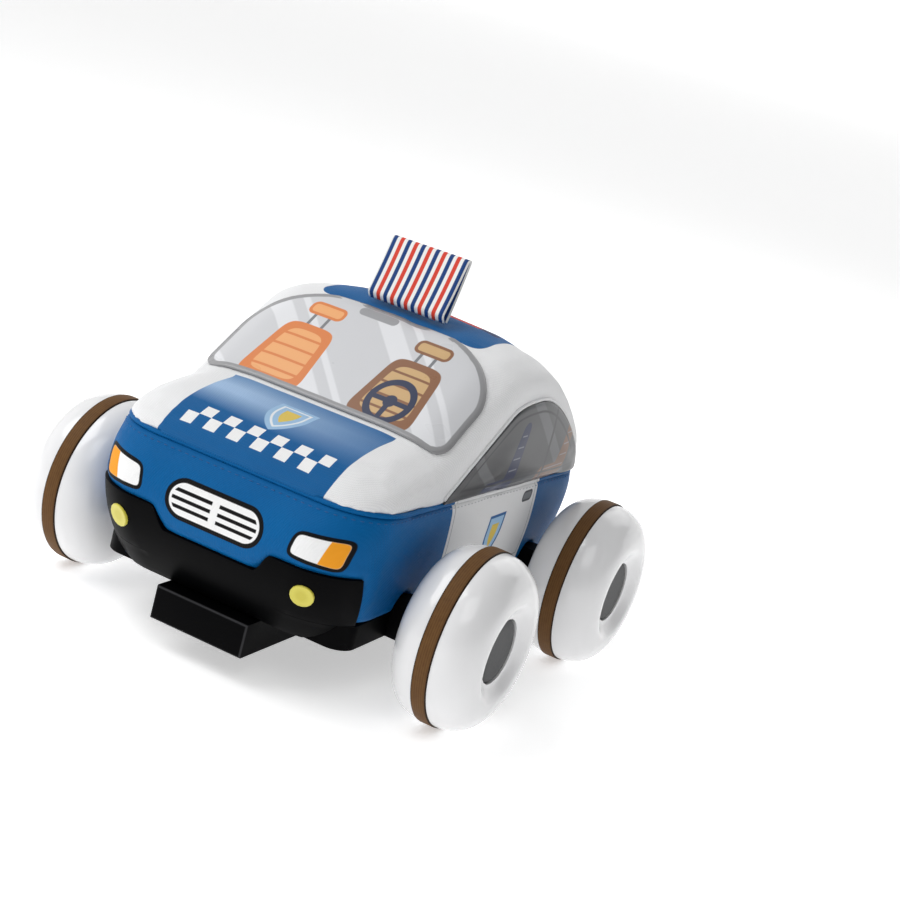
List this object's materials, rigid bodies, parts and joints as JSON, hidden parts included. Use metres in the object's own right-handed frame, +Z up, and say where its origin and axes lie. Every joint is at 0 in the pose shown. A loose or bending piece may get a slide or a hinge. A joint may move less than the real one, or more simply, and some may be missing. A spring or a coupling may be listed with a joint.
{
  "type": "remote-control toy patrol car",
  "caption": "Soft-bodied remote-control toy patrol car: padded fabric body on a moulded chassis, large balloon wheels driven by rear gear motors, battery hatch and striped roof ribbon.",
  "frame": {"origin": "middle of the car on the ground it stands on", "axes": "+X to the car's left, +Y to its rear, +Z up"},
  "size_m": [0.2204, 0.2379, 0.1697],
  "materials": {
    "chassis_black": "satin black moulded plastic",
    "lamp_yellow": "glossy yellow lens",
    "grey_plastic": "plain moulded grey plastic",
    "steel": "bright drawn steel",
    "battery_cell": "plain printed sleeve",
    "board_green": "green solder mask",
    "hub_grey": "matt dark grey plastic",
    "gear_white": "self-coloured acetal",
    "wheel_white": "glossy white blow-moulded plastic",
    "tread_brown": "matt brown band",
    "body_blue": "printed stretch fabric over foam",
    "body_white": "printed stretch fabric over foam",
    "windshield_grey": "printed fabric panel",
    "window_grey": "printed fabric panel",
    "ribbon": "striped grosgrain ribbon"
  },
  "bodies": {
    "chassis": {"chassis_tub": "chassis_black", "front_bumper": "chassis_black", "fog_lamp_left": "lamp_yellow", "fog_lamp_right": "lamp_yellow", "inner_deck": "grey_plastic", "gear_plate_inner_left": "grey_plastic", "gear_plate_inner_right": "grey_plastic", "gear_plate_outer_left": "grey_plastic", "gear_plate_outer_right": "grey_plastic", "power_switch_case": "grey_plastic", "deck_screw_front_left": "steel", "deck_screw_front_right": "steel", "deck_screw_rear_left": "steel", "deck_screw_rear_right": "steel", "battery_terminal_left": "steel", "battery_terminal_right": "steel", "battery_contact_strap": "steel", "drive_motor_left": "steel", "drive_motor_right": "steel", "battery_cell_front_left": "battery_cell", "battery_cell_front_right": "battery_cell", "battery_cell_rear_left": "battery_cell", "battery_cell_rear_right": "battery_cell", "receiver_board": "board_green", "lower_body_pad": "body_blue", "upper_body_pad": "body_white", "windshield_panel": "windshield_grey", "side_window_left": "window_grey", "side_window_right": "window_grey", "roof_ribbon": "ribbon"},
    "front_left_wheel": {"front_left_wheel_outer_shell": "wheel_white", "front_left_wheel_inner_shell": "wheel_white", "front_left_tread_band": "tread_brown", "front_left_hub_cap": "hub_grey", "front_left_axle": "steel"},
    "front_right_wheel": {"front_right_wheel_outer_shell": "wheel_white", "front_right_wheel_inner_shell": "wheel_white", "front_right_tread_band": "tread_brown", "front_right_hub_cap": "hub_grey", "front_right_axle": "steel"},
    "rear_left_wheel": {"rear_left_wheel_outer_shell": "wheel_white", "rear_left_wheel_inner_shell": "wheel_white", "rear_left_tread_band": "tread_brown", "rear_left_hub_cap": "hub_grey", "rear_left_axle": "steel", "axle_gear_left": "gear_white"},
    "rear_right_wheel": {"rear_right_wheel_outer_shell": "wheel_white", "rear_right_wheel_inner_shell": "wheel_white", "rear_right_tread_band": "tread_brown", "rear_right_hub_cap": "hub_grey", "rear_right_axle": "steel", "axle_gear_right": "gear_white"},
    "idler_left": {"idler_gear_left": "gear_white"},
    "pinion_left": {"motor_pinion_left": "gear_white"},
    "idler_right": {"idler_gear_right": "gear_white"},
    "pinion_right": {"motor_pinion_right": "gear_white"},
    "power_switch": {"power_switch_slider": "hub_grey"},
    "battery_hatch": {"battery_door": "chassis_black", "battery_door_screw": "steel"}
  },
  "joints": [
    {"name": "front_left_wheel_spin", "type": "hinge", "parent": "chassis", "child": "front_left_wheel", "pos_m": [0.0912, -0.0573, 0.038], "axis": [1, 0, 0], "continuous": true},
    {"name": "front_right_wheel_spin", "type": "hinge", "parent": "chassis", "child": "front_right_wheel", "pos_m": [-0.0912, -0.0573, 0.038], "axis": [1, 0, 0], "continuous": true},
    {"name": "rear_left_wheel_spin", "type": "hinge", "parent": "chassis", "child": "rear_left_wheel", "pos_m": [0.0912, 0.0673, 0.038], "axis": [1, 0, 0], "continuous": true},
    {"name": "rear_right_wheel_spin", "type": "hinge", "parent": "chassis", "child": "rear_right_wheel", "pos_m": [-0.0912, 0.0673, 0.038], "axis": [1, 0, 0], "continuous": true},
    {"name": "idler_left_spin", "type": "hinge", "parent": "chassis", "child": "idler_left", "pos_m": [0.0385, 0.05725, 0.0438], "axis": [1, 0, 0], "continuous": true},
    {"name": "pinion_left_spin", "type": "hinge", "parent": "chassis", "child": "pinion_left", "pos_m": [0.035, 0.04645, 0.0438], "axis": [1, 0, 0], "continuous": true},
    {"name": "idler_right_spin", "type": "hinge", "parent": "chassis", "child": "idler_right", "pos_m": [-0.0385, 0.05725, 0.0438], "axis": [1, 0, 0], "continuous": true},
    {"name": "pinion_right_spin", "type": "hinge", "parent": "chassis", "child": "pinion_right", "pos_m": [-0.035, 0.04645, 0.0438], "axis": [1, 0, 0], "continuous": true},
    {"name": "power_switch_slide", "type": "slide", "parent": "chassis", "child": "power_switch", "axis": [0, 1, 0], "range_m": [0, 0.004]},
    {"name": "battery_hatch_open", "type": "hinge", "parent": "chassis", "child": "battery_hatch", "pos_m": [0, -0.0952, 0.012], "axis": [-1, 0, 0], "range_deg": [0, 75]}
  ],
  "couplings": [
    {"joint": "idler_left_spin", "follows": "rear_left_wheel_spin", "ratio": -2.2222},
    {"joint": "pinion_left_spin", "follows": "rear_left_wheel_spin", "ratio": 4.4444},
    {"joint": "idler_right_spin", "follows": "rear_right_wheel_spin", "ratio": -2.2222},
    {"joint": "pinion_right_spin", "follows": "rear_right_wheel_spin", "ratio": 4.4444}
  ]
}
